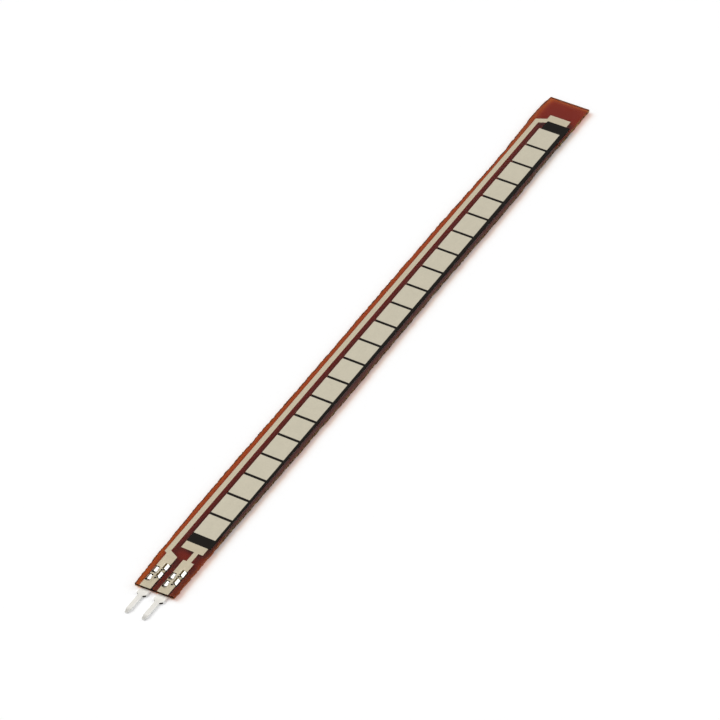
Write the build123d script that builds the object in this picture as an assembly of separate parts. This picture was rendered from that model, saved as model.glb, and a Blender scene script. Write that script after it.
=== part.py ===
from build123d import *
import os

# A flat flex sensor. A strip of amber film carries a printed resistor that changes as the strip is
# bent, and two flat contacts are crimped through the film at one end.
# Lengths are in millimetres. X runs from the pins to the plain far end of the film, Y runs across
# the strip towards the return trace, and Z is up. The contacts stand on Z = 0.

# Film
FILM_LENGTH = 107.2
FILM_WIDTH = 6.35
FILM_THICKNESS = 0.38
PIN_END_SKEW = 0.32

# The two long edges were cut by hand. Each pair is a share of the film's length, counted from the
# pin end, and how far the cut lies outside the nominal edge there.
LEFT_CUT = ((0.0, -0.40), (0.08, -0.04), (0.3, 0.05), (0.55, 0.04), (0.75, 0.0), (0.84, -0.16),
            (0.92, 0.02), (0.975, 0.12), (1.0, -0.20))
RIGHT_CUT = ((0.0, -0.26), (0.1, -0.24), (0.27, -0.02), (0.42, 0.11), (0.62, 0.0), (0.8, 0.11),
             (0.9, -0.04), (0.97, 0.06), (1.0, 0.0))

# Layout of the print across the film, from the left edge to the right one
TRACE_MARGIN = 0.67
TRACE_WIDTH = 0.70
TRACE_TO_SEGMENTS = 0.78
SEGMENT_MARGIN = 0.95

# Layout of the print along the film, from the pads to the far end
PAD_TAIL = 1.30
NECK_LENGTH = 1.76
BAR_LENGTH = 1.30
NEAR_GAP = 1.65
SEGMENT_COUNT = 22
SEGMENT_GAP = 0.41
FAR_GAP = 1.90
TAIL_LENGTH = 3.60

# Printed inks. The silver levels out over the resistive ink.
RESISTIVE_THICKNESS = 0.02
SILVER_THICKNESS = 0.05
RESISTIVE_RIGHT_EDGE = 0.33
RESISTIVE_LEFT_EDGE = 0.07
RESISTIVE_DRIFT = 0.30
PAD_GAP = 0.94
NECK_WIDTH = 0.66
DIAGONAL_LEAN = 0.47
DIAGONAL_WIDTH = 0.90
DIAGONAL_SHIFT = 0.02
DIAGONAL_DROP = 0.30

# Contacts
CONTACT_PITCH = 2.54
CONTACT_THICKNESS = 0.25
TAB_WIDTH = 1.42
TAB_REACH = 0.95
TAB_HIDDEN = 0.50
CRIMP_OVERHANG = 0.04
CRIMP_TAIL = 0.43
SHOULDER_LENGTH = 0.25
PIN_WIDTH = 0.68
PIN_LENGTH = 2.50
TIP_LENGTH = 0.80
TIP_WIDTH = 0.22
TIP_THICKNESS = 0.08
CLAW_WIDTH = 0.84
CLAW_TIP_WIDTH = 0.64
CLAW_THICKNESS = 0.20
CLAW_INNER_RADIUS = 0.13
CLAW_RISE = 0.04
CLAW_PITCH = 1.50
CLAW_STAGGER = 0.93
CLAWS_A_SIDE = 2
FIRST_CLAW = 1.57
SLIT_CLEARANCE = 0.02

# Heights
FILM_BOTTOM = CONTACT_THICKNESS
FILM_TOP = FILM_BOTTOM + FILM_THICKNESS
PRINT_TOP = FILM_TOP + SILVER_THICKNESS
CURL_CENTRE = PRINT_TOP + CLAW_RISE
CLAW_OUTER_RADIUS = CLAW_INNER_RADIUS + CLAW_THICKNESS
CLAW_TOP = CURL_CENTRE + CLAW_OUTER_RADIUS

# Places across the film
LEFT_EDGE = FILM_WIDTH / 2
RIGHT_EDGE = -FILM_WIDTH / 2
TRACE_LEFT = LEFT_EDGE - TRACE_MARGIN
TRACE_RIGHT = TRACE_LEFT - TRACE_WIDTH
SEGMENT_LEFT = TRACE_RIGHT - TRACE_TO_SEGMENTS
SEGMENT_RIGHT = RIGHT_EDGE + SEGMENT_MARGIN
LEFT_CONTACT_Y = CONTACT_PITCH / 2
RIGHT_CONTACT_Y = -CONTACT_PITCH / 2
PAD_WIDTH = CONTACT_PITCH - PAD_GAP
CRIMP_WIDTH = PAD_WIDTH + 2 * CRIMP_OVERHANG

# Places along the film
PIN_REACH = TAB_REACH + SHOULDER_LENGTH + PIN_LENGTH + TIP_LENGTH
LAST_CLAW = FIRST_CLAW + CLAW_STAGGER + (CLAWS_A_SIDE - 1) * CLAW_PITCH
CRIMP_END = LAST_CLAW + CLAW_WIDTH / 2 + CRIMP_TAIL
PAD_LENGTH = CRIMP_END + PAD_TAIL
NEAR_BAR_START = PAD_LENGTH + NECK_LENGTH
NEAR_BAR_END = NEAR_BAR_START + BAR_LENGTH
FIRST_SEGMENT = NEAR_BAR_END + NEAR_GAP
FAR_BAR_END = FILM_LENGTH - TAIL_LENGTH
FAR_BAR_START = FAR_BAR_END - BAR_LENGTH
LAST_SEGMENT_END = FAR_BAR_START - FAR_GAP
SEGMENT_PITCH = (LAST_SEGMENT_END - FIRST_SEGMENT + SEGMENT_GAP) / SEGMENT_COUNT
SEGMENT_LENGTH = SEGMENT_PITCH - SEGMENT_GAP

# The finished part is moved so that its middle is over the origin.
MIDDLE_X = (FILM_LENGTH - PIN_REACH) / 2


def slab(face, bottom, top):
    """A flat piece with the outline of a face, between two heights."""
    return extrude(Pos(0, 0, bottom) * face, amount=top - bottom, dir=(0, 0, 1))


def polygon(*corners):
    """A flat face with straight sides, from its corners in order."""
    return make_face(Polyline(*corners, close=True))


def rectangle(x_start, x_end, y_start, y_end):
    """A flat rectangle between two places along the film and two across it."""
    return polygon((x_start, y_start), (x_end, y_start), (x_end, y_end), (x_start, y_end))


def cut_edge(side, cut):
    """One hand-cut long edge of the film, on the left for side 1 and on the right for side -1."""
    points = [(share * FILM_LENGTH, side * (FILM_WIDTH / 2 + outside)) for share, outside in cut]
    points[0] = (-side * PIN_END_SKEW / 2, points[0][1])
    return Spline(*points)


def film_outline():
    """The film seen from above, with its wavy long edges and its slanted cut at the pins."""
    left = cut_edge(1, LEFT_CUT)
    right = cut_edge(-1, RIGHT_CUT)
    far_end = Line(left @ 1, right @ 1)
    pin_end = Line(right @ 0, left @ 0)
    return make_face(left + far_end + right + pin_end)


def claw_places(side):
    """The middles of the claws along one side of a contact. The right ones stand further in."""
    first = FIRST_CLAW if side > 0 else FIRST_CLAW + CLAW_STAGGER
    return [first + index * CLAW_PITCH for index in range(CLAWS_A_SIDE)]


def claw_slits():
    """The cuts that the claws make through the film and the pads."""
    half = CLAW_WIDTH / 2 + SLIT_CLEARANCE
    outside = CRIMP_WIDTH / 2 + SLIT_CLEARANCE
    inside = CRIMP_WIDTH / 2 - CLAW_THICKNESS - SLIT_CLEARANCE
    slits = []
    for contact_y in (LEFT_CONTACT_Y, RIGHT_CONTACT_Y):
        for side in (1, -1):
            for place in claw_places(side):
                near = contact_y + side * inside
                far = contact_y + side * outside
                outline = rectangle(place - half, place + half, min(near, far), max(near, far))
                slits.append(slab(outline, 0, CLAW_TOP))
    return slits


def base_film():
    """The amber film, pierced by the claws."""
    return slab(film_outline(), FILM_BOTTOM, FILM_TOP) - claw_slits()


def resistive_outline():
    """The black resistive strip from above. It was printed a little out of line with the silver."""
    start = NEAR_BAR_END
    end = FAR_BAR_START
    right = SEGMENT_RIGHT - RESISTIVE_RIGHT_EDGE
    left = SEGMENT_LEFT + RESISTIVE_LEFT_EDGE
    drift = RESISTIVE_DRIFT
    return polygon((start, right), (end, right - drift), (end, left - drift), (start, left))


def resistive_strip():
    """The resistive ink between the two terminal bars, under the silver."""
    return slab(resistive_outline(), FILM_TOP, FILM_TOP + RESISTIVE_THICKNESS)


def printed_silver(outline):
    """Silver ink on the film, cut off at the film's edge and level over the resistive ink."""
    ink = slab(outline, FILM_TOP, PRINT_TOP) & slab(film_outline(), FILM_TOP, PRINT_TOP)
    return ink - resistive_strip() - claw_slits()


def pad_outline(contact_y):
    """A contact's pad from above. It runs past the cut end, where the film's edge trims it."""
    return rectangle(-PIN_END_SKEW, PAD_LENGTH, contact_y - PAD_WIDTH / 2, contact_y + PAD_WIDTH / 2)


def leaning(x_at_trace, y):
    """Where a slanted side crosses a line across the film, if it leaves the trace's right edge."""
    return x_at_trace + DIAGONAL_LEAN * (TRACE_RIGHT - y)


def return_trace():
    """The left pad, the thin trace along the film and the bar that ends it."""
    pad_right = LEFT_CONTACT_Y - PAD_WIDTH / 2
    pad_left = LEFT_CONTACT_Y + PAD_WIDTH / 2
    near_inner = PAD_LENGTH + DIAGONAL_LEAN * (TRACE_RIGHT - pad_right)
    near_outer = PAD_LENGTH + DIAGONAL_LEAN * (TRACE_LEFT - pad_left)
    far_outer = FAR_BAR_START + DIAGONAL_SHIFT
    far_inner = far_outer - DIAGONAL_WIDTH
    landing = SEGMENT_LEFT - DIAGONAL_DROP
    path = polygon(
        (0, pad_right), (PAD_LENGTH, pad_right), (near_inner, TRACE_RIGHT), (far_inner, TRACE_RIGHT),
        (leaning(far_inner, landing), landing), (FAR_BAR_END, landing), (FAR_BAR_END, SEGMENT_LEFT),
        (leaning(far_outer, SEGMENT_LEFT), SEGMENT_LEFT), (leaning(far_outer, TRACE_LEFT), TRACE_LEFT),
        (near_outer, TRACE_LEFT), (PAD_LENGTH, pad_left), (0, pad_left))
    bar = rectangle(FAR_BAR_START, FAR_BAR_END, SEGMENT_RIGHT, SEGMENT_LEFT)
    return printed_silver(pad_outline(LEFT_CONTACT_Y) + path + bar)


def near_terminal():
    """The right pad, its neck and the bar where the resistive strip begins."""
    neck_right = RIGHT_CONTACT_Y - NECK_WIDTH / 2
    neck = rectangle(0, NEAR_BAR_START, neck_right, neck_right + NECK_WIDTH)
    bar = rectangle(NEAR_BAR_START, NEAR_BAR_END, SEGMENT_RIGHT, SEGMENT_LEFT)
    return printed_silver(pad_outline(RIGHT_CONTACT_Y) + neck + bar)


def segment(index):
    """One of the silver squares on the resistive strip, counted from the pin end."""
    start = FIRST_SEGMENT + index * SEGMENT_PITCH
    return printed_silver(rectangle(start, start + SEGMENT_LENGTH, SEGMENT_RIGHT, SEGMENT_LEFT))


def blank_outline():
    """A contact's crimp plate, tab, pin and pointed tip from above, about its own middle line."""
    right = [(CRIMP_END, -CRIMP_WIDTH / 2), (TAB_HIDDEN, -CRIMP_WIDTH / 2), (TAB_HIDDEN, -TAB_WIDTH / 2),
             (-TAB_REACH, -TAB_WIDTH / 2), (-TAB_REACH - SHOULDER_LENGTH, -PIN_WIDTH / 2),
             (TIP_LENGTH - PIN_REACH, -PIN_WIDTH / 2), (-PIN_REACH, -TIP_WIDTH / 2)]
    left = [(x, -y) for x, y in reversed(right)]
    return polygon(*right, *left)


def blank_side():
    """A contact's flat metal from the side, with the tip pressed thin, as wide as the crimp."""
    taper = TIP_LENGTH - PIN_REACH
    tip_bottom = (CONTACT_THICKNESS - TIP_THICKNESS) / 2
    corners = ((CRIMP_END, 0, 0), (taper, 0, 0), (-PIN_REACH, 0, tip_bottom),
               (-PIN_REACH, 0, tip_bottom + TIP_THICKNESS), (taper, 0, CONTACT_THICKNESS),
               (CRIMP_END, 0, CONTACT_THICKNESS))
    return extrude(polygon(*corners), amount=CRIMP_WIDTH, dir=(0, 1, 0), both=True)


def half_circle(side, radius):
    """A half circle about the curl of a claw, from the contact's outside inwards."""
    middle = side * (CRIMP_WIDTH / 2 - CLAW_OUTER_RADIUS)
    outer = (0, middle + side * radius, CURL_CENTRE)
    inner = (0, middle - side * radius, CURL_CENTRE)
    return ThreePointArc(outer, (0, middle, CURL_CENTRE + radius), inner)


def claw_profile(side):
    """A claw seen along the strip: up through the film, then curled over onto the pad."""
    over = half_circle(side, CLAW_OUTER_RADIUS)
    under = half_circle(side, CLAW_INNER_RADIUS)
    outer_foot = (0, side * CRIMP_WIDTH / 2, 0)
    inner_foot = (0, side * (CRIMP_WIDTH / 2 - CLAW_THICKNESS), 0)
    point = (0, side * (CRIMP_WIDTH / 2 - 2 * CLAW_OUTER_RADIUS + CLAW_THICKNESS / 2), PRINT_TOP)
    leg = Polyline(under @ 0, inner_foot, outer_foot, over @ 0)
    tip = Polyline(over @ 1, point, under @ 1)
    return make_face(leg + over + tip + under)


def claw_plan(side, place):
    """A claw seen from above, narrower towards its tip."""
    wide = CLAW_WIDTH / 2
    slim = CLAW_TIP_WIDTH / 2
    edge = side * CRIMP_WIDTH / 2
    bend = edge - side * CLAW_THICKNESS
    tip = edge - side * 2 * CLAW_OUTER_RADIUS
    return polygon((place - wide, edge), (place + wide, edge), (place + wide, bend),
                   (place + slim, tip), (place - slim, tip), (place - wide, bend))


def claw(side, place):
    """A claw at its place along the contact."""
    bent = extrude(claw_profile(side), amount=CLAW_WIDTH / 2, dir=(1, 0, 0), both=True)
    return Pos(place, 0, 0) * bent & slab(claw_plan(side, place), 0, CLAW_TOP)


def contact(contact_y):
    """One crimped contact: a flat plate under the film, four claws through it and a pin."""
    metal = slab(blank_outline(), 0, CONTACT_THICKNESS) & blank_side()
    for side in (1, -1):
        for place in claw_places(side):
            metal += claw(side, place)
    return Pos(0, contact_y, 0) * metal


def write(name, shape):
    """Puts a piece in its final place and writes its file."""
    export_step(Pos(-MIDDLE_X, 0, 0) * shape, f"parts/{name}.step")


def main():
    os.makedirs("parts", exist_ok=True)
    write("base_film", base_film())
    write("resistive_strip", resistive_strip())
    write("return_trace", return_trace())
    write("near_terminal", near_terminal())
    write("contact_left", contact(LEFT_CONTACT_Y))
    write("contact_right", contact(RIGHT_CONTACT_Y))
    for index in range(SEGMENT_COUNT):
        write(f"segment_{index + 1:02d}", segment(index))


main()
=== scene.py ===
"""A flex sensor: printed inks on a strip of amber film, with two crimped contacts."""
import math

import bmesh
import bpy
from bpy.props import FloatProperty, FloatVectorProperty, IntProperty, PointerProperty
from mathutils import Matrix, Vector


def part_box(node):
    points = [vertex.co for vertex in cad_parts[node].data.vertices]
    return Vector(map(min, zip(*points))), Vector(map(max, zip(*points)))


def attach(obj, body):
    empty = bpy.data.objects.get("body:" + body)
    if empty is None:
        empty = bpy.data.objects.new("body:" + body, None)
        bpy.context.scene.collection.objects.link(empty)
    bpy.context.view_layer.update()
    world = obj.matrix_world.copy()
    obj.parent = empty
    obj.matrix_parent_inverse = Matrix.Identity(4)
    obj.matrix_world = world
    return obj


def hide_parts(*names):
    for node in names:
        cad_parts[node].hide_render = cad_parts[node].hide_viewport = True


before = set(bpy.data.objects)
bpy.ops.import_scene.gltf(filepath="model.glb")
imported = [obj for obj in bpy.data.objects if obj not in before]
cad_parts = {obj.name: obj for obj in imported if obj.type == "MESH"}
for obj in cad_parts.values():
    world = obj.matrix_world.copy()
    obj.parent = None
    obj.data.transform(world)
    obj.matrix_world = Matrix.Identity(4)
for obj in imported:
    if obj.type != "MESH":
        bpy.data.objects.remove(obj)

bl_info = {
    "name": "Flex sensor",
    "version": (1, 0, 0),
    "blender": (4, 5, 0),
    "location": "View3D > Sidebar > Flex sensor",
    "description": "Models a printed flex sensor round its packed frame",
    "category": "Add Mesh",
}

MM = 0.001
MICRON = MM / 1000
FILM_LOW, FILM_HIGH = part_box("base_film")
PLATE_LOW, PLATE_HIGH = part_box("contact_left")
PRINT_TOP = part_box("return_trace")[1].z
SQUARES = [f"segment_{number:02d}" for number in range(1, 23)]
PIN_REACH = 4.5 * MM                   # from a pin's tip to the film's nominal end
FILM_ORIGIN = PLATE_LOW.x + PIN_REACH  # that end, from which places along the film are given
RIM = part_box("return_trace")[1].y      # the film beyond it is bare, along the left edge
BEDDED = 10 * MICRON                   # how far an ink's underside sinks into what it's printed on


# ---------------------------------------------------------------- settings

class FilmSettings(bpy.types.PropertyGroup):
    """The amber film."""
    stations: IntProperty(
        name="Stations", description="Lengths that the strip's long edges are cut into",
        default=44, min=8, max=100)
    fine_stations: IntProperty(
        name="Fine stations", description="Shorter lengths in each of those",
        default=11, min=1, max=20)
    wave: FloatProperty(
        name="Wave", description="Depth of the hand-cut edge's long waves",
        default=0.20 * MM, unit="LENGTH", precision=5)
    fray: FloatProperty(
        name="Fray", description="Depth of the cut edge's short tears",
        default=0.22 * MM, unit="LENGTH", precision=5)
    pass_through: FloatVectorProperty(
        name="Pass through", description="Colour that light keeps after one pass straight through the film",
        default=(0.55, 0.172, 0.022), subtype="COLOR", min=0, max=1)


class InkSettings(bpy.types.PropertyGroup):
    """The printed inks."""
    silver: FloatVectorProperty(
        name="Silver ink", description="Colour of the silver ink on the resistive ink",
        default=(0.595, 0.548, 0.427), subtype="COLOR", min=0, max=1)
    silver_on_film: FloatVectorProperty(
        name="Silver ink on film", description="Colour of the silver ink on the bare film, which shows through it",
        default=(0.570, 0.500, 0.362), subtype="COLOR", min=0, max=1)
    carbon: FloatVectorProperty(
        name="Resistive ink", description="Colour of the dried resistive ink",
        default=(0.0085, 0.0072, 0.0058), subtype="COLOR", min=0, max=1)
    corner: FloatProperty(
        name="Corner", description="Radius of a printed corner",
        default=0.03 * MM, unit="LENGTH", precision=5)
    lip: FloatProperty(
        name="Lip", description="Rounding of a print's top edge",
        default=0.012 * MM, unit="LENGTH", precision=5)
    print_fray: FloatProperty(
        name="Print fray", description="Depth of the ripple that the printing screen leaves on edges",
        default=0.02 * MM, unit="LENGTH", precision=5)


class ContactSettings(bpy.types.PropertyGroup):
    """The crimped contacts."""
    metal: FloatVectorProperty(
        name="Plating", description="Colour of the tin plating where it is dull",
        default=(0.60, 0.585, 0.545), subtype="COLOR", min=0, max=1)
    # Also serves as painted highlight on the claws' slopes and on the walls below the film
    polish_and_highlight: FloatVectorProperty(
        name="Polished plating", description="Colour of the plating where the stamping and crimping tools polished it",
        default=(0.95, 0.95, 0.93), subtype="COLOR", min=0, max=1)
    edge_round: FloatProperty(
        name="Edge rounding", description="Rounding of the stamped edges",
        default=0.03 * MM, unit="LENGTH", precision=5)
    bend_steps: IntProperty(
        name="Bend steps", description="Steps round a claw's first bend. The second has twice as many",
        default=6, min=2, max=32)
    shoulder: FloatProperty(
        name="Shoulder", description="Length of the slope between tab and pin",
        default=0.30 * MM, unit="LENGTH", precision=5)


class StageSettings(bpy.types.PropertyGroup):
    """Floor, light and camera."""
    lens: FloatProperty(
        name="Lens", description="Focal length of the camera", default=203.5, unit="CAMERA")
    camera_place: FloatVectorProperty(
        name="Camera place", description="Where the camera stands",
        default=(-0.32763, -0.22167, 0.37118), subtype="TRANSLATION")
    camera_turn: FloatVectorProperty(
        name="Camera turn", description="The camera's turn about X, Y and Z",
        default=(math.radians(46.546), math.radians(3.131), math.radians(-58.756)), subtype="EULER")
    key_from: FloatVectorProperty(
        name="Key direction", description="Direction that the main light comes from",
        default=(-0.05, 0.77, 0.64), subtype="DIRECTION")
    key: FloatProperty(name="Key strength", description="Strength of the main light", default=2.3)
    key_spread: FloatProperty(
        name="Key spread", description="Angle that the main light fills in the sky",
        default=math.radians(40), subtype="ANGLE")
    fill_from: FloatVectorProperty(
        name="Fill direction", description="Direction that the low second light comes from",
        default=(0.60, -0.62, 0.48), subtype="DIRECTION")
    fill: FloatProperty(name="Fill strength", description="Strength of the second light", default=0.6)
    fill_spread: FloatProperty(
        name="Fill spread", description="Angle that the second light fills in the sky",
        default=math.radians(40), subtype="ANGLE")
    sky: FloatProperty(name="Sky strength", description="Strength of the even light all round", default=0.46)


SETTINGS = {"film": FilmSettings, "ink": InkSettings, "contact": ContactSettings, "stage": StageSettings}


def settings(name):
    """One group of settings, as the sidebar shows it."""
    return getattr(bpy.context.scene, "flex_sensor_" + name)


# ---------------------------------------------------------------- nodes

class Value:
    """A socket that can be used in sums."""

    def __init__(self, nodes, socket):
        self.nodes, self.socket = nodes, socket

    def sum(self, operation, *others):
        return self.nodes.add("ShaderNodeMath", {"operation": operation}, dict(enumerate((self, *others))))

    def __add__(self, other):
        return self.sum("ADD", other)

    def __sub__(self, other):
        return self.sum("SUBTRACT", other)

    def __rsub__(self, other):
        return self.nodes.add("ShaderNodeMath", {"operation": "SUBTRACT"}, {0: other, 1: self})

    def __mul__(self, other):
        return self.sum("MULTIPLY", other)

    __radd__, __rmul__ = __add__, __mul__

    def size(self):
        """The value without its sign."""
        return self.sum("ABSOLUTE")

    def wave(self):
        """The value's sine."""
        return self.sum("SINE")

    def either(self, other):
        """The larger of two values."""
        return self.sum("MAXIMUM", other)

    def fade(self, low, high, start, end):
        """A smooth step from start to end as the value goes from low to high."""
        return self.nodes.add("ShaderNodeMapRange", {"interpolation_type": "SMOOTHSTEP"},
                              {0: self, 1: low, 2: high, 3: start, 4: end})

    def past(self, low, high):
        """0 below low and 1 above high."""
        return self.fade(low, high, 0, 1)

    def until(self, low, high):
        """1 below low and 0 above high."""
        return self.fade(low, high, 1, 0)


class Nodes:
    """The nodes of one material or of the world."""

    def __init__(self, owner):
        owner.use_nodes = True
        self.tree = owner.node_tree
        self.tree.nodes.clear()

    def add(self, kind, chosen=(), sockets=(), out=0):
        """Adds a node: its type, its settings, then the values or links of its sockets."""
        node = self.tree.nodes.new(kind)
        for name, choice in dict(chosen).items():
            setattr(node, name, choice)
        for key, value in dict(sockets).items():
            if isinstance(value, Value):
                self.tree.links.new(value.socket, node.inputs[key])
            else:
                node.inputs[key].default_value = value
        return Value(self, node.outputs[out]) if node.outputs else node

    def place(self, stretch=(1, 1, 1)):
        """The place on the object in millimetres, stretched along each axis."""
        spot = self.add("ShaderNodeTexCoord", out="Object")
        return self.add("ShaderNodeVectorMath", {"operation": "MULTIPLY"}, {0: spot, 1: [s / MM for s in stretch]})

    def axis(self, name):
        """How far along one axis a place is, in millimetres."""
        return self.add("ShaderNodeSeparateXYZ", (), {0: self.place()}, out=name)

    def facing(self, axis):
        """How far a surface faces along one axis, from -1 to 1."""
        return self.add("ShaderNodeSeparateXYZ", (), {0: self.add("ShaderNodeTexCoord", out="Normal")}, out=axis)

    def upright(self):
        """1 on walls and 0 on faces that look up or down."""
        return self.facing("Z").size().until(0.35, 0.85)

    def ray(self, kind):
        """1 for rays of one kind, such as Camera or Shadow, and 0 for the rest."""
        return self.add("ShaderNodeLightPath", out=f"Is {kind} Ray")

    def noise(self, scale, detail, stretch=(1, 1, 1), rough=0.55):
        """Soft noise with features of about 1 mm over scale."""
        return self.add("ShaderNodeTexNoise", (), {
            "Vector": self.place(stretch), "Scale": scale, "Detail": detail, "Roughness": rough})

    def blend(self, share, a, b):
        """One colour turning to another."""
        return self.add("ShaderNodeMix", {"data_type": "RGBA"}, {"Factor": share, 6: a, 7: b}, out=2)

    def tint(self, colour, by):
        """A colour made lighter or darker."""
        return self.add("ShaderNodeVectorMath", {"operation": "SCALE"}, {0: colour, "Scale": by})

    def bump(self, height, depth):
        """A bumpy normal: depth in metres."""
        return self.add("ShaderNodeBump", (), {"Height": height, "Distance": depth, "Strength": 1.0})

    def principled(self, sockets):
        return self.add("ShaderNodeBsdfPrincipled", (), sockets)

    def mix(self, share, a, b):
        """One shader turning to another."""
        return self.add("ShaderNodeMixShader", (), {0: share, 1: a, 2: b})


def rgba(colour):
    return (*colour, 1.0)


# ---------------------------------------------------------------- film material

# Where one look of the film fades into the next, in mm along it from FILM_ORIGIN
SLITS_START, SLITS_END = (0.6, 0.8), (4.9, 5.1)
PAST_NEAR_PART = 4, 22
PAST_PADS = 9, 13
GREY_MARGIN_START, GREY_MARGIN_END = (11.5, 12.5), (97, 98)
HALFWAY = 40, 60
PAST_BEND = 95, 97.5                        # the return trace's bend towards the far bar
PALE_FROM = 96, 101
# The same across it, in mm from the middle between the contacts. The left is positive
RIM_START = RIM / MM - 0.1, RIM / MM + 0.1
SLITS_SIDE = RIM / MM - 0.1, RIM / MM
GREY_MARGIN_SIDE = -2.5, -2.35
LEFT_HALF, RIGHT_SIDE = (0, 1), (-2, -1)
# Bands along the far and left edges of the film, painted darker there as shade, in mm on the object's own axes
FAR_BAND = FILM_HIGH.x / MM - 0.80, FILM_HIGH.x / MM - 0.10
LEFT_BAND = FILM_HIGH.y / MM - 0.85, FILM_HIGH.y / MM - 0.25
# Heights on the film's walls, in mm above the table: past the first the near end wall is painted near black as shade,
# past the second the cut edges are painted lighter as lit
END_SHADE_ABOVE = 0.36, 0.42
LIT_CUT_TOP = 0.50, 0.60

CLEAR, CLOUDY = (1.0, 0.97, 0.94, 1), (0.93, 0.86, 0.80, 1)
CLEAR_BY_PINS = (0.86, 0.90, 0.82, 1)
SHADE_AT_FAR_EDGES = (0.80, 0.62, 0.71, 1)  # painted shade against light that gets in under the raised edge; the real film lies closer to the table there
# painted shade: the bare film along the left edge is tinted darker in green and blue, against light that gets in under
# the raised edge
SHADE_AT_RIM = (0.87, 0.55, 0.12, 1)
DARK_FIBRES, TAN_FIBRES, PALE_FIBRES = (0.022, 0.020, 0.012, 1), (0.22, 0.18, 0.07, 1), (0.46, 0.38, 0.11, 1)
# The cut edges are painted lighter towards the top, as light coming through them; by the pads they keep one deep
# red-brown
CUT_LOW, CUT_LIT_TOP, CUT_BY_PADS = (0.30, 0.08, 0.03, 1), (0.95, 0.56, 0.12, 1), (0.25, 0.055, 0.020, 1)
GREY_MARGIN = (0.09, 0.11, 0.11, 1)
# painted shade, near black, for the near end wall and the slits' walls
PAINTED_SHADE_BLACK = (0.006, 0.004, 0.003, 1)
FLECK_SHARE, CUT_SHARE, GREY_MARGIN_SHARE = 0.9, 0.85, 0.15  # how much each covers the clear film
FILM_IOR = 1.25


def clear_film(n, along, beyond, wall, streak):
    """Clear plastic, with tints that change along the strip, and painted shade in bands along its far and left edges
    and over the bare film along the left edge.
    """
    grain = n.noise(5.0, 4)
    drift = n.noise(0.35, 2, (0.5, 1, 1))
    height = grain * 0.12 * (1 - wall) + streak * wall * 3.0
    # painted shade over the bare film along the left edge
    rim = n.axis("Y").past(*RIM_START) * (1 - beyond)
    tone = n.blend(drift, CLEAR, CLOUDY)
    tone = n.blend(along.until(*PAST_NEAR_PART), tone, CLEAR_BY_PINS)
    # painted shade: a darker tint in bands along the far edge, and along the left edge past the bend
    far_edge_shade = n.axis("X").past(*FAR_BAND).either(n.axis("Y").past(*LEFT_BAND) * beyond)
    tone = n.blend(far_edge_shade, tone, SHADE_AT_FAR_EDGES)
    return n.principled({
        "Base Color": n.blend(rim, tone, SHADE_AT_RIM),
        "Roughness": wall * (0.42 + 0.35 * streak) + (1 - wall) * (0.07 + 0.08 * grain),
        "IOR": FILM_IOR, "Transmission Weight": 1.0,
        "Normal": n.bump(height, 20 * MICRON)})


def torn_edges(n, along, beyond, wall, streak):
    """Chalky cut edges painted lighter towards the top as lit, painted shade on the near end wall and the slits' walls,
    a grey tint on the right margin, and how much they cover the clear film.
    """
    flecks = n.noise(6.0, 3, (1, 1, 0.6)).past(0.36, 0.60) * wall
    end = n.facing("X").size().past(0.5, 0.8)  # seen from inside the film, a wall faces the other way
    pin_end = end * along.until(*HALFWAY)
    by_pads = along.until(*PAST_PADS)
    trimmed = (end * along.past(*HALFWAY)).either(beyond * wall * n.axis("Y").past(*LEFT_HALF))
    trimmed = trimmed.either(by_pads * wall * (1 - end) * n.axis("Y").until(*RIGHT_SIDE))
    # painted shade: near black on the near end wall towards its top, and on the slits' walls
    end_wall_shade = pin_end * n.axis("Z").past(*END_SHADE_ABOVE)
    slit = (wall * along.past(*SLITS_START) * along.until(*SLITS_END)
            * n.axis("Y").size().until(*SLITS_SIDE))
    dark = end_wall_shade + slit - end_wall_shade * slit
    # a grey tint over the top face of the right margin
    grey_margin = (along.past(*GREY_MARGIN_START) * along.until(*GREY_MARGIN_END)
              * n.axis("Y").until(*GREY_MARGIN_SIDE) * (1 - wall))

    light_fibres = n.blend(along.past(*PALE_FROM), TAN_FIBRES, PALE_FIBRES)
    fibres = n.blend(streak.past(0.40, 0.70), DARK_FIBRES, light_fibres)
    # painted light: the cut edges turn lighter towards their top
    cut = n.blend(n.axis("Z").past(*LIT_CUT_TOP), CUT_LOW, CUT_LIT_TOP)
    edges = n.blend(trimmed, fibres, n.blend(by_pads, cut, CUT_BY_PADS))
    chalk = n.blend(wall, GREY_MARGIN, edges)
    torn = n.principled({
        "Base Color": n.blend(dark, chalk, PAINTED_SHADE_BLACK), "Roughness": 0.8, "Specular IOR Level": 0.1})
    share = ((flecks * FLECK_SHARE * (1 - pin_end) * (1 - trimmed) + trimmed * CUT_SHARE) * (1 - dark)
             + dark + grey_margin * GREY_MARGIN_SHARE)
    return share, torn


def amber_film():
    """Clear amber plastic: smooth faces, with torn and chalky cut edges."""
    material = bpy.data.materials.new("amber film")
    n = Nodes(material)
    along = n.axis("X") - FILM_ORIGIN / MM
    common = n, along, along.past(*PAST_BEND), n.upright(), n.noise(3.2, 5, (1, 1, 0.5))
    film = clear_film(*common)
    share, torn = torn_edges(*common)
    clear = n.add("ShaderNodeBsdfTransparent", (), {"Color": CLEAR})
    lit = n.mix(n.ray("Diffuse"), n.mix(share, film, torn), clear)
    surface = n.mix(n.ray("Shadow"), lit, clear)
    thickness = FILM_HIGH.z - FILM_LOW.z
    loss = [-math.log(kept) / thickness for kept in settings("film").pass_through]
    most = max(loss)
    body = n.add("ShaderNodeVolumeAbsorption", (), {"Color": rgba([1 - one / most for one in loss]), "Density": most})
    n.add("ShaderNodeOutputMaterial", (), {"Surface": surface, "Volume": body})
    return material


# ---------------------------------------------------------------- ink and metal materials

SCREEN_PITCH = 0.16         # mm between the printing screen's threads
SCREEN_TURN = 0.92, 0.39    # cosine and sine of the angle that the screen was turned by

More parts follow.
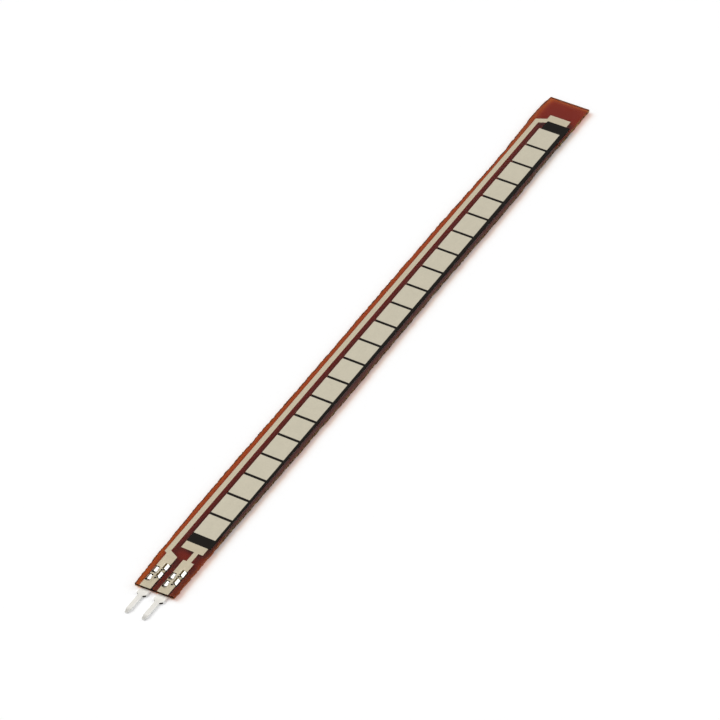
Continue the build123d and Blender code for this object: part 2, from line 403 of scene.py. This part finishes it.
# Heights at which the contacts' look changes, in mm above the table
ABOVE_FILM = 0.64, 0.72
LEFT_TOPS_SHADE_ABOVE = 0.82, 0.90
POLISH_AND_HIGHLIGHT_BELOW = 0.89, 0.95
SHADED_RIDGE = 0.945, 0.99
# painted shade: the claws' ends, creases and ridges and the shoulders take these near-black colours
SHADED_BARE_METAL, CREASE_SHADE = (0.085, 0.055, 0.014, 1), (0.022, 0.016, 0.008, 1)


def resistive_ink():
    """Matt black carbon ink with a fine grain."""
    material = bpy.data.materials.new("resistive ink")
    n = Nodes(material)
    grain = n.noise(14.0, 4, rough=0.7)
    cloud = n.noise(1.1, 3)
    colour = n.tint(settings("ink").carbon, 0.7 + 0.35 * grain + 0.3 * cloud)
    ink = n.principled({
        "Base Color": colour, "Roughness": 0.55 + 0.25 * cloud, "Specular IOR Level": 0.06,
        "Normal": n.bump(grain, 6 * MICRON)})
    n.add("ShaderNodeOutputMaterial", (), {"Surface": ink})
    return material


def silver_ink(name, colour):
    """Matt silver ink: metal grains in a pale binder, marked by the printing screen."""
    material = bpy.data.materials.new(name)
    n = Nodes(material)
    grain = n.noise(22.0, 3, rough=0.7)
    cloud = n.noise(0.9, 4)
    tone = 0.69 + 0.10 * cloud + 0.12 * grain + 0.10 * n.noise(4.0, 2)
    thread = 2 * math.pi / SCREEN_PITCH
    cosine, sine = SCREEN_TURN
    along, across = n.axis("X"), n.axis("Y")
    mesh_marks = (((along * cosine + across * sine) * thread).wave()
                  + ((across * cosine - along * sine) * thread).wave())
    ink = n.principled({
        "Base Color": n.tint(colour, tone), "Roughness": 0.5 + 0.14 * grain, "Metallic": 0.35,
        "Specular IOR Level": 0.3, "Normal": n.bump(mesh_marks * 0.25 + grain * 1.2 + cloud, 5 * MICRON)})
    n.add("ShaderNodeOutputMaterial", (), {"Surface": ink})
    return material


def contact_metal():
    """Satin tin plating, rolled lengthwise, polished where it was curled and bare at the claws' cut ends, with painted
    highlight and painted shade on the claws, tab, shoulders and pin tips.
    """
    material = bpy.data.materials.new("tin plated metal")
    n = Nodes(material)
    wish = settings("contact")

    def along_pin(*tips):
        """Places along a pin in mm, given in lengths of its tip."""
        return [(PLATE_LOW.x + TIP_LENGTH * tip) / MM for tip in tips]

    rolled = n.noise(9.0, 4, (0.12, 1, 1), 0.6)
    smear = n.noise(1.6, 4)
    pits = n.noise(18.0, 2).past(0.62, 0.8)
    x, y, z = n.axis("X"), n.axis("Y"), n.axis("Z")
    ahead, aside = n.facing("X"), n.facing("Y")
    above = z.past(*ABOVE_FILM)
    # painted shade at the pin's tip, and a painted highlight that makes the contact lighter from there on
    pin_shade_and_highlight = x.fade(*along_pin(0.3, 1.5), 0.74, 1.12)
    # painted light: the tab turns lighter towards the film's end, against the shade the film casts on it
    tab = 1 + 0.28 * x.past((TAB_END - wish.shoulder) / MM, FILM_LOW.x / MM) * (1 - above)

    # the claws' ends: bare metal at the cut, darkened to near black as painted shade
    sheared_and_shaded = ahead.size().past(0.45, 0.7) * above
    centre = (PLATE_LOW.y + PLATE_HIGH.y) / 2 / MM
    left_row = y.past(centre, centre + 0.1) + y.past(-centre, 0.1 - centre) * y.until(-0.1, 0)
    # painted shade: the tops of the left row of claws are darker
    dull = left_row * z.past(*LEFT_TOPS_SHADE_ABOVE)
    # painted shade: near black along the claws' ridges and on faces above the film that turn a little towards +Y
    ridge = z.past(*SHADED_RIDGE)
    crease_shade = (ridge + aside.past(-0.12, 0.15) * (1 - ridge)) * aside.until(0.60, 0.75) * above
    # painted shade on the walls that face the tip, at the shoulders between tab and pin
    shoulders = (0 - ahead).past(0.35, 0.6) * (1 - above) * x.past(*along_pin(1.5, 1.8))
    # pale where the crimping tools polished the claws' slopes, with painted highlight by which way they face, and
    # painted highlight on all walls below the film
    polished = aside.size().past(0.62, 0.76) * above * z.until(*POLISH_AND_HIGHLIGHT_BELOW) + n.upright() * (1 - above)

    plating = n.tint(wish.metal, (0.92 + 0.16 * smear - 0.12 * pits) * pin_shade_and_highlight * tab * (1 - 0.45 * dull))
    bright = n.blend(polished, plating, rgba(wish.polish_and_highlight))
    metal = n.principled({
        "Base Color": n.blend(sheared_and_shaded + crease_shade + shoulders, bright, n.blend(crease_shade, CREASE_SHADE, SHADED_BARE_METAL)),
        "Metallic": 0.45 + 0.55 * above,
        "Roughness": 0.40 + 0.08 * smear + 0.08 * rolled + 0.2 * pits - 0.22 * polished * above,
        "Normal": n.bump(rolled + smear * 0.3 - pits * 0.6, 2 * MICRON)})
    n.add("ShaderNodeOutputMaterial", (), {"Surface": metal})
    return material


# ---------------------------------------------------------------- modelling

WELD = 0.2 * MICRON         # vertices closer than this become one
SAME = 0.1 * MICRON         # and closer than this in a mesh that was only just made
FLAT = math.radians(0.2)    # faces that meet at less than this become one
ALONG = 0.9                 # an edge or a face heads along an axis from this share on


def pick(piece):
    """Selects this object alone and makes it active."""
    if bpy.context.mode != "OBJECT":
        bpy.ops.object.mode_set(mode="OBJECT")
    bpy.ops.object.select_all(action="DESELECT")
    piece.select_set(True)
    bpy.context.view_layer.objects.active = piece


def block(name, low, high):
    """A box between two corners, with its place in its mesh."""
    bpy.ops.object.select_all(action="DESELECT")
    low, high = Vector(low), Vector(high)
    bpy.ops.mesh.primitive_cube_add(size=1, location=(low + high) / 2, scale=high - low)
    piece = bpy.context.object
    piece.name = piece.data.name = name
    bpy.ops.object.transform_apply(location=True, rotation=True, scale=True)
    return piece


def traced(node, name):
    """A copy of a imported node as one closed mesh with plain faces."""
    piece = bpy.data.objects.new(name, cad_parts[node].data.copy())
    piece.data.name = name
    piece.data.materials.clear()
    bpy.context.scene.collection.objects.link(piece)
    edit(piece)
    bpy.ops.mesh.select_all(action="SELECT")
    bpy.ops.mesh.remove_doubles(threshold=SAME)
    bpy.ops.mesh.dissolve_limited(angle_limit=FLAT)
    done()
    return piece


def edit(piece):
    """Opens one piece in edit mode."""
    pick(piece)
    bpy.ops.object.mode_set(mode="EDIT")


def done():
    """Goes back to object mode."""
    bpy.ops.object.mode_set(mode="OBJECT")


def choose(kind, test):
    """In edit mode, selects the verts, edges or faces that pass a test, and nothing else."""
    bpy.ops.mesh.select_mode(type=kind[:-1].upper())
    bpy.ops.mesh.select_all(action="DESELECT")
    mesh = bmesh.from_edit_mesh(bpy.context.object.data)
    for part in getattr(mesh, kind):
        if test(part):
            part.select_set(True)
    bmesh.update_edit_mesh(bpy.context.object.data)


def middle(edge):
    return (edge.verts[0].co + edge.verts[1].co) / 2


def heading(edge):
    return (edge.verts[1].co - edge.verts[0].co).normalized()


def divide(axis, cuts):
    """Cuts the edges that run along an axis into equal lengths."""
    choose("edges", lambda edge: abs(heading(edge)[axis]) > ALONG)
    bpy.ops.mesh.subdivide(number_cuts=cuts)


def group(piece, name, test):
    """A vertex group of the vertices that pass a test."""
    members = piece.vertex_groups.new(name=name)
    members.add([v.index for v in piece.data.vertices if test(v.co)], 1.0, "REPLACE")
    return name


def modify(piece, kind, **options):
    """Adds one modifier and applies it."""
    pick(piece)
    modifier = piece.modifiers.new(kind.lower(), kind)
    for name, value in options.items():
        setattr(modifier, name, value)
    bpy.ops.object.modifier_apply(modifier=modifier.name)


def ripple(piece, direction, size, depth, members=""):
    """Moves vertices in and out along one axis, by noise with features of one size."""
    texture = bpy.data.textures.new(f"cloud {size / MICRON:.0f}", "CLOUDS")
    texture.noise_scale, texture.noise_depth = size, 2
    modify(piece, "DISPLACE", texture=texture, texture_coords="LOCAL", direction=direction,
           strength=depth, mid_level=0.5, vertex_group=members)


def keep_in(piece, low, high):
    """Holds a piece inside a box."""
    for vertex in piece.data.vertices:
        vertex.co = [min(max(value, a), b) for value, a, b in zip(vertex.co, low, high)]


def combine(piece, operation, other):
    """Unites two closed shapes, or takes the second out of the first."""
    modify(piece, "BOOLEAN", operation=operation, solver="EXACT", object=other)
    bpy.data.objects.remove(other)


def finish(piece, material, slot, *nodes, smooth=20, weld=WELD):
    """Material, smooth shading and the piece's place in the frame."""
    pick(piece)
    piece.vertex_groups.clear()
    edit(piece)
    bpy.ops.mesh.select_all(action="SELECT")
    if weld:
        bpy.ops.mesh.remove_doubles(threshold=weld)
    bpy.ops.mesh.normals_make_consistent(inside=False)
    done()
    bpy.ops.object.shade_smooth_by_angle(angle=math.radians(smooth))
    piece.data.materials.clear()
    piece.data.materials.append(material)
    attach(piece, "root")
    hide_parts(*nodes)


# ---------------------------------------------------------------- contacts

PLATE_WIDTH = PLATE_HIGH.y - PLATE_LOW.y
SHEET = FILM_LOW.z                      # thickness of the contacts' sheet metal
PLATE_START = FILM_LOW.x + 0.50 * MM    # the crimp plate's step, under the film
STEP_LENGTH = 0.05 * MM                 # over which the plate narrows to the tab
TAB_END = FILM_LOW.x - 0.79 * MM
TAB_WIDTH, PIN_WIDTH, TIP_WIDTH = 1.42 * MM, 0.68 * MM, 0.36 * MM
TIP_LENGTH, TIP_SHEET = 0.66 * MM, 0.10 * MM
CLAW_SHEET, CLAW_WIDTH = 0.14 * MM, 0.94 * MM
CLAW_INSET = 4 * MICRON                 # how far a claw's outer face stays inside the plate's edge
CLAW_FOOT = 0.4                         # height at which a claw starts, as a share of the plate's thickness
BEND_START = 0.56 * MM                  # height at which a claw begins to lean in
LEAN, ROOF = math.radians(38), math.radians(102)  # a claw's two bends
BEND_INSIDE = 0.02 * MM                 # radius inside them
SLIMMER = 0.88, 0.84, 0.76              # a claw's width at the top of its slope, past its second bend and at its tip
SKEW = 0.17 * MM                        # how far the tip points away from the pins
BEVEL_ANGLE = math.radians(38)          # edges sharper than this are rounded
SLIT_OUTSIDE = 0.02 * MM                # how far a slit is open round its claw

# By side: 1 is the left row of a contact's claws and -1 the right one
CLAW_TOP = {1: PLATE_HIGH.z - 0.08 * MM, -1: PLATE_HIGH.z}  # height of the ridges
CLAW_ROWS = {1: (1.50, 3.00), -1: (2.46, 3.96)}  # the claws' middles, in mm from FILM_ORIGIN
SLIT_UNDER = {1: 0.50 * MM, -1: 0.34 * MM}  # how far a slit is open under its claw
TORN = {1: 0.26 * MM, -1: 0.12 * MM}    # how far it's torn on, away from the pins
# A tear by each tip of the right row, in mm: along from its slit's start, and across from its claw's outer face
NICK = (-0.24, 0.04), (0.46, 0.70)


def claws_of(node):
    """Side, middle along the strip, and outer face of each claw of a contact."""
    low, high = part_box(node)
    centre = (low.y + high.y) / 2
    return [(side, FILM_ORIGIN + place * MM, centre + side * PLATE_WIDTH / 2)
            for side, places in CLAW_ROWS.items() for place in places]


def push(face_x, to_x, width, sheet, centre):
    """Extrudes a strip's end face along the strip to a new place, width and thickness."""
    choose("faces", lambda face: face.normal.x < -ALONG and abs(face.calc_center_median().x - face_x) < MICRON)
    mesh = bmesh.from_edit_mesh(bpy.context.object.data)
    points = [v.co for v in mesh.verts if v.select]
    wide = max(p.y for p in points) - min(p.y for p in points)
    thick = max(p.z for p in points) - min(p.z for p in points)
    bpy.ops.mesh.extrude_region_move(TRANSFORM_OT_translate={"value": (to_x - face_x, 0, 0)})
    bpy.ops.transform.resize(value=(1, width / wide, sheet / thick), center_override=(to_x, centre, SHEET / 2))


def contact_blank(name, node):
    """The flat stamping: crimp plate, tab, shoulders, pin and pointed tip."""
    low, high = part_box(node)
    centre = (low.y + high.y) / 2
    piece = block(name, (PLATE_START, low.y, low.z), (high.x, high.y, SHEET))
    tab_start = PLATE_START - STEP_LENGTH
    pin_start = TAB_END - settings("contact").shoulder
    tip_start = low.x + TIP_LENGTH
    edit(piece)
    for face_x, to_x, width, sheet in ((PLATE_START, tab_start, TAB_WIDTH, SHEET),
                                       (tab_start, TAB_END, TAB_WIDTH, SHEET),
                                       (TAB_END, pin_start, PIN_WIDTH, SHEET),
                                       (pin_start, tip_start, PIN_WIDTH, SHEET),
                                       (tip_start, low.x, TIP_WIDTH, TIP_SHEET)):
        push(face_x, to_x, width, sheet, centre)
    done()
    return piece


def claw(name, side, place, edge):
    """One claw: a leg up through the film that leans in, bends over and comes down on the pad."""
    steps = settings("contact").bend_steps
    inner = edge - side * CLAW_SHEET
    half = CLAW_WIDTH / 2
    edge -= side * CLAW_INSET
    piece = block(name, (place - half, min(edge, inner), SHEET * CLAW_FOOT),
                  (place + half, max(edge, inner), BEND_START))

    def bend(steps, angle, inward, height):
        bpy.ops.mesh.spin(steps=steps, angle=-angle * side, center=(place, edge - side * inward, height),
                          axis=(1, 0, 0))

    def extrude(x, y, z):
        bpy.ops.mesh.extrude_region_move(TRANSFORM_OT_translate={"value": (x, y, z)})

    def resize(length, thick=1, height=0):
        bpy.ops.transform.resize(value=(length, 1, thick), center_override=(place, 0, height))

    edit(piece)
    choose("faces", lambda face: face.normal.z > ALONG)
    radius, top = CLAW_SHEET + BEND_INSIDE, CLAW_TOP[side]
    bend(steps, LEAN, radius, BEND_START)
    knee = (radius * (1 - math.cos(LEAN)), BEND_START + radius * math.sin(LEAN))
    rise = (top - radius * (1 - math.sin(LEAN)) - knee[1]) / math.cos(LEAN)
    extrude(0, -side * rise * math.sin(LEAN), rise * math.cos(LEAN))
    resize(SLIMMER[0])
    ridge = (knee[0] + rise * math.sin(LEAN) + radius * math.cos(LEAN), top - radius)
    bend(2 * steps, ROOF, *ridge)
    resize(SLIMMER[1] / SLIMMER[0])
    turned = LEAN + ROOF
    drop = ridge[1] + radius * math.sin(turned) - PRINT_TOP
    extrude(SKEW, side * drop * math.tan(turned), -drop)
    resize(SLIMMER[2] / SLIMMER[1], thick=0, height=PRINT_TOP)
    choose("faces", lambda face: True)
    bpy.ops.mesh.remove_doubles(threshold=SAME)
    bpy.ops.mesh.normals_make_consistent(inside=False)
    done()
    return piece


def pierce(piece, *nodes):
    """Opens the slits that the claws of these contacts tore."""
    for node in nodes:
        for side, place, edge in claws_of(node):
            reach = CLAW_WIDTH / 2 + SLIT_OUTSIDE
            sides = edge + side * SLIT_OUTSIDE, edge - side * (CLAW_SHEET + SLIT_UNDER[side])
            holes = [((place - reach, place + reach + TORN[side]), sides)]
            if side < 0:
                holes.append(([place - reach + x * MM for x in NICK[0]], [edge + y * MM for y in NICK[1]]))
            for xs, ys in holes:
                cutter = block("slit", (min(xs), min(ys), 0), (max(xs), max(ys), PLATE_HIGH.z))
                combine(piece, "DIFFERENCE", cutter)


# ---------------------------------------------------------------- film and prints

FILM_INSET = Vector((0.45 * MM, 0.62 * MM, 0))  # the film's block starts this far inside, and is then drawn out
FILM_CUTS_ACROSS, FILM_CUTS_UP = 35, 3
LONG_WAVE, TEAR = 1.6 * MM, 0.30 * MM           # sizes of the cut edges' waves and tears
INK_RIPPLE, INK_FRAY = 0.25 * MM, 1.5           # size of the resistive ink's ripple, and its depth against the silver's
INK_CUTS_ALONG, INK_CUTS_ACROSS = (92, 7), 24
SILVER_RIPPLES = ("Y", 0.2 * MM), ("X", 0.23 * MM)
LONG_EDGE, LONG_CUTS = 20 * MM, 99              # printed edges longer than this are cut first
SHORT_EDGE, SHORT_CUTS = 0.4 * MM, 7            # and then all that are longer than this
SQUARE_CUTS = 23
LEVEL = 0.5                                     # an edge is level, or a face upright, below this share of Z


def draw_out(film, start, end):
    """Draws a block out to the film's outline. Returns the vertex groups of its four sides."""
    shell = traced("base_film", "film_guide")
    posts = {(x, y): [v.index for v in film.data.vertices if abs(v.co.x - edge.x) + abs(v.co.y - side.y) < MICRON]
             for x, edge in ((-1, start), (1, end)) for y, side in ((-1, start), (1, end))}
    right = group(film, "right", lambda co: co.y < start.y + MICRON)
    left = group(film, "left", lambda co: co.y > end.y - MICRON)
    near = group(film, "near", lambda co: co.x < start.x + MICRON)
    far = group(film, "far", lambda co: co.x > end.x - MICRON)
    for members, axis, ahead in ((left, "y", True), (right, "y", False), (far, "x", True), (near, "x", False)):
        modify(film, "SHRINKWRAP", vertex_group=members, target=shell, wrap_method="PROJECT",
               use_positive_direction=ahead, use_negative_direction=not ahead, **{"use_project_" + axis: True})
    for (x, y), members in posts.items():
        corner = max((v.co for v in shell.data.vertices), key=lambda co: x * co.x + y * co.y)
        for index in members:
            film.data.vertices[index].co.xy = corner.xy
    bpy.data.objects.remove(shell)
    return left, right, near, far


def bury(piece, level):
    """Sinks a print's underside a little into what it's printed on."""
    for vertex in piece.data.vertices:
        if vertex.co.z < level + MICRON:
            vertex.co.z = FILM_HIGH.z - BEDDED


def round_lip(piece, top):
    """Rounds a print's top edge."""
    edit(piece)
    choose("edges", lambda edge: middle(edge).z > top - MICRON
           and any(abs(face.normal.z) < LEVEL for face in edge.link_faces))
    bpy.ops.mesh.bevel(offset=settings("ink").lip, segments=2, affect="EDGES", clamp_overlap=True)
    done()


def print_edges(piece, low, high):
    """Gives a silver print the small ripple of its screen, a bedded underside and a rounded lip."""
    for direction, size in SILVER_RIPPLES:
        ripple(piece, direction, size, settings("ink").print_fray)
    keep_in(piece, low, high)
    bury(piece, low.z)
    round_lip(piece, high.z)


# ---------------------------------------------------------------- operators

class FLEX_OT_film(bpy.types.Operator):
    """Models the amber film, hand cut and pierced by the claws"""
    bl_idname = "flex_sensor.film"
    bl_label = "Film"

    def execute(self, context):
        wish = settings("film")
        start, end = FILM_LOW + FILM_INSET, FILM_HIGH - FILM_INSET
        film = block("film_strip", start, end)
        edit(film)
        divide(0, wish.stations - 1)
        divide(0, wish.fine_stations - 1)
        divide(1, FILM_CUTS_ACROSS)
        divide(2, FILM_CUTS_UP)
        done()
        left, right, near, far = draw_out(film, start, end)
        for members, share, axis in ((left, 1, "Y"), (right, -1, "Y"), (near, -0.5, "X"), (far, 0.10, "X")):
            ripple(film, axis, LONG_WAVE, share * wish.wave, members)
            ripple(film, axis, TEAR, share * wish.fray, members)
        keep_in(film, FILM_LOW, FILM_HIGH)
        pierce(film, "contact_left", "contact_right")
        finish(film, amber_film(), "amber_film", "base_film", smooth=30)
        return {"FINISHED"}


class FLEX_OT_resistive_ink(bpy.types.Operator):
    """Models the black resistive strip"""
    bl_idname = "flex_sensor.resistive_ink"
    bl_label = "Resistive ink"

    def execute(self, context):
        ink = traced("resistive_strip", "carbon_ink")
        edit(ink)
        for cuts in INK_CUTS_ALONG:
            divide(0, cuts)
        divide(1, INK_CUTS_ACROSS)
        done()
        low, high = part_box("resistive_strip")
        ripple(ink, "Y", INK_RIPPLE, settings("ink").print_fray * INK_FRAY)
        bury(ink, low.z)
        round_lip(ink, high.z)
        finish(ink, resistive_ink(), "resistive_ink", "resistive_strip")
        return {"FINISHED"}


class FLEX_OT_terminals(bpy.types.Operator):
    """Models the silver return trace, pads, neck and terminal bars"""
    bl_idname = "flex_sensor.terminals"
    bl_label = "Silver terminals"

    def execute(self, context):
        ink = silver_ink("silver ink on film", settings("ink").silver_on_film)
        for node, name, contact in (("return_trace", "silver_return_trace", "contact_left"),
                                    ("near_terminal", "silver_near_terminal", "contact_right")):
            piece = traced(node, name)
            edit(piece)
            choose("edges", lambda edge: edge.calc_length() > LONG_EDGE)
            bpy.ops.mesh.subdivide(number_cuts=LONG_CUTS)
            choose("edges", lambda edge: edge.calc_length() > SHORT_EDGE and abs(heading(edge).z) < LEVEL)
            bpy.ops.mesh.subdivide(number_cuts=SHORT_CUTS)
            done()
            pierce(piece, contact)
            print_edges(piece, *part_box(node))
            finish(piece, ink, "silver_ink", node)
        return {"FINISHED"}


class FLEX_OT_squares(bpy.types.Operator):
    """Models one silver square and prints it along the resistive strip"""
    bl_idname = "flex_sensor.squares"
    bl_label = "Silver squares"

    def execute(self, context):
        ink = silver_ink("silver ink", settings("ink").silver)
        low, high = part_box(SQUARES[0])
        first = block("silver_square", low, high)
        edit(first)
        choose("edges", lambda edge: abs(heading(edge).z) > ALONG)
        bpy.ops.mesh.bevel(offset=settings("ink").corner, segments=3, affect="EDGES")
        divide(0, SQUARE_CUTS)
        divide(1, SQUARE_CUTS)
        done()
        for node in SQUARES:
            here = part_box(node)
            square = first.copy()
            square.data = first.data.copy()
            square.name = square.data.name = node.replace("segment", "silver_square")
            context.scene.collection.objects.link(square)
            shift = Vector((here[0].x - low.x, here[0].y - low.y, 0))
            for vertex in square.data.vertices:
                vertex.co += shift
            print_edges(square, Vector((here[0].x, here[0].y, low.z)), here[1])
            finish(square, ink, "silver_ink", node)
        bpy.data.objects.remove(first)
        return {"FINISHED"}


class FLEX_OT_contacts(bpy.types.Operator):
    """Models the two crimped contacts with their claws and pins"""
    bl_idname = "flex_sensor.contacts"
    bl_label = "Contacts"

    def execute(self, context):
        metal = contact_metal()
        for node, name in (("contact_left", "crimp_contact_left"), ("contact_right", "crimp_contact_right")):
            contact = contact_blank(name, node)
            for side, place, edge in claws_of(node):
                combine(contact, "UNION", claw("claw", side, place, edge))
            modify(contact, "BEVEL", width=settings("contact").edge_round, segments=2, limit_method="ANGLE",
                   angle_limit=BEVEL_ANGLE, use_clamp_overlap=True)
            keep_in(contact, *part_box(node))
            finish(contact, metal, "contact_metal", node, weld=0)
        return {"FINISHED"}


FLOOR_SIZE = 6              # metres
LAMP_HEIGHT = 0.5           # metres, where the lamps stand in the viewport: a sun shines alike from anywhere
SENSOR_WIDTH = 36           # mm
CLIP_START, CLIP_END = 0.01, 20  # metres
WHITE = (1, 1, 1, 1)
PAPER, PAPER_LIFT = (0.93, 0.93, 0.93), (0.06, 0.06, 0.06)


def white_paper():
    """Matt white paper, which looks a little whiter than it lights."""
    paper = bpy.data.materials.new("white paper")
    n = Nodes(paper)
    fibre = n.noise(1.4, 2)
    sheet = n.principled({
        "Base Color": n.tint(PAPER, 0.985 + 0.03 * fibre), "Roughness": 1.0, "Specular IOR Level": 0.0,
        "Emission Color": n.tint(PAPER_LIFT, n.ray("Camera")), "Emission Strength": 1.0})
    n.add("ShaderNodeOutputMaterial", (), {"Surface": sheet})
    return paper


def studio(strength):
    """A world that lights evenly, and is white where it is seen, mirrored or looked through to."""
    world = bpy.data.worlds.new("studio")
    n = Nodes(world)
    shown = n.ray("Camera").either(n.ray("Glossy")).either(n.ray("Transmission"))
    even = n.add("ShaderNodeBackground", (), {"Color": WHITE, "Strength": strength})
    white = n.add("ShaderNodeBackground", (), {"Color": WHITE, "Strength": 1.0})
    n.add("ShaderNodeOutputWorld", (), {"Surface": n.mix(shown, even, white)})
    return world


class FLEX_OT_stage(bpy.types.Operator):
    """Sets the floor, the light and the camera"""
    bl_idname = "flex_sensor.stage"
    bl_label = "Stage"

    def execute(self, context):
        wish = settings("stage")
        bpy.ops.object.select_all(action="DESELECT")
        bpy.ops.mesh.primitive_plane_add(size=FLOOR_SIZE, location=(0, 0, 0))
        floor = context.object
        floor.name = floor.data.name = "floor"
        floor.data.materials.append(white_paper())
        context.scene.world = studio(wish.sky)

        for name, ahead, strength, spread in (("key light", wish.key_from, wish.key, wish.key_spread),
                                              ("fill light", wish.fill_from, wish.fill, wish.fill_spread)):
            bpy.ops.object.light_add(type="SUN", location=(0, 0, LAMP_HEIGHT))
            light = context.object
            light.name = light.data.name = name
            light.data.energy, light.data.angle = strength, spread
            light.rotation_euler = Vector(ahead).to_track_quat("Z", "Y").to_euler()

        bpy.ops.object.camera_add(location=wish.camera_place, rotation=wish.camera_turn)
        camera = context.object
        camera.name = camera.data.name = "camera"
        camera.data.sensor_width, camera.data.lens = SENSOR_WIDTH, wish.lens
        camera.data.clip_start, camera.data.clip_end = CLIP_START, CLIP_END
        context.scene.camera = camera
        context.scene.view_settings.view_transform = "Standard"
        return {"FINISHED"}


STEPS = (FLEX_OT_film, FLEX_OT_resistive_ink, FLEX_OT_terminals, FLEX_OT_squares, FLEX_OT_contacts, FLEX_OT_stage)


class FLEX_PT_sidebar(bpy.types.Panel):
    """Lists what the add-on can model, and its settings"""
    bl_label = "Flex sensor"
    bl_idname = "FLEX_PT_sidebar"
    bl_space_type = "VIEW_3D"
    bl_region_type = "UI"
    bl_category = "Flex sensor"

    def draw(self, context):
        for step in STEPS:
            self.layout.operator(step.bl_idname)
        for name in SETTINGS:
            box = self.layout.box()
            box.label(text=name.capitalize())
            for field in SETTINGS[name].__annotations__:
                box.prop(settings(name), field)


def register():
    for kind in (*SETTINGS.values(), *STEPS, FLEX_PT_sidebar):
        bpy.utils.register_class(kind)
    for name, kind in SETTINGS.items():
        setattr(bpy.types.Scene, "flex_sensor_" + name, PointerProperty(type=kind))


def unregister():
    for name in SETTINGS:
        delattr(bpy.types.Scene, "flex_sensor_" + name)
    for kind in reversed((*SETTINGS.values(), *STEPS, FLEX_PT_sidebar)):
        bpy.utils.unregister_class(kind)


def main():
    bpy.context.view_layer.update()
    register()
    for step in STEPS:
        area, name = step.bl_idname.split(".")
        getattr(getattr(bpy.ops, area), name)()


if __name__ == "__main__":
    main()
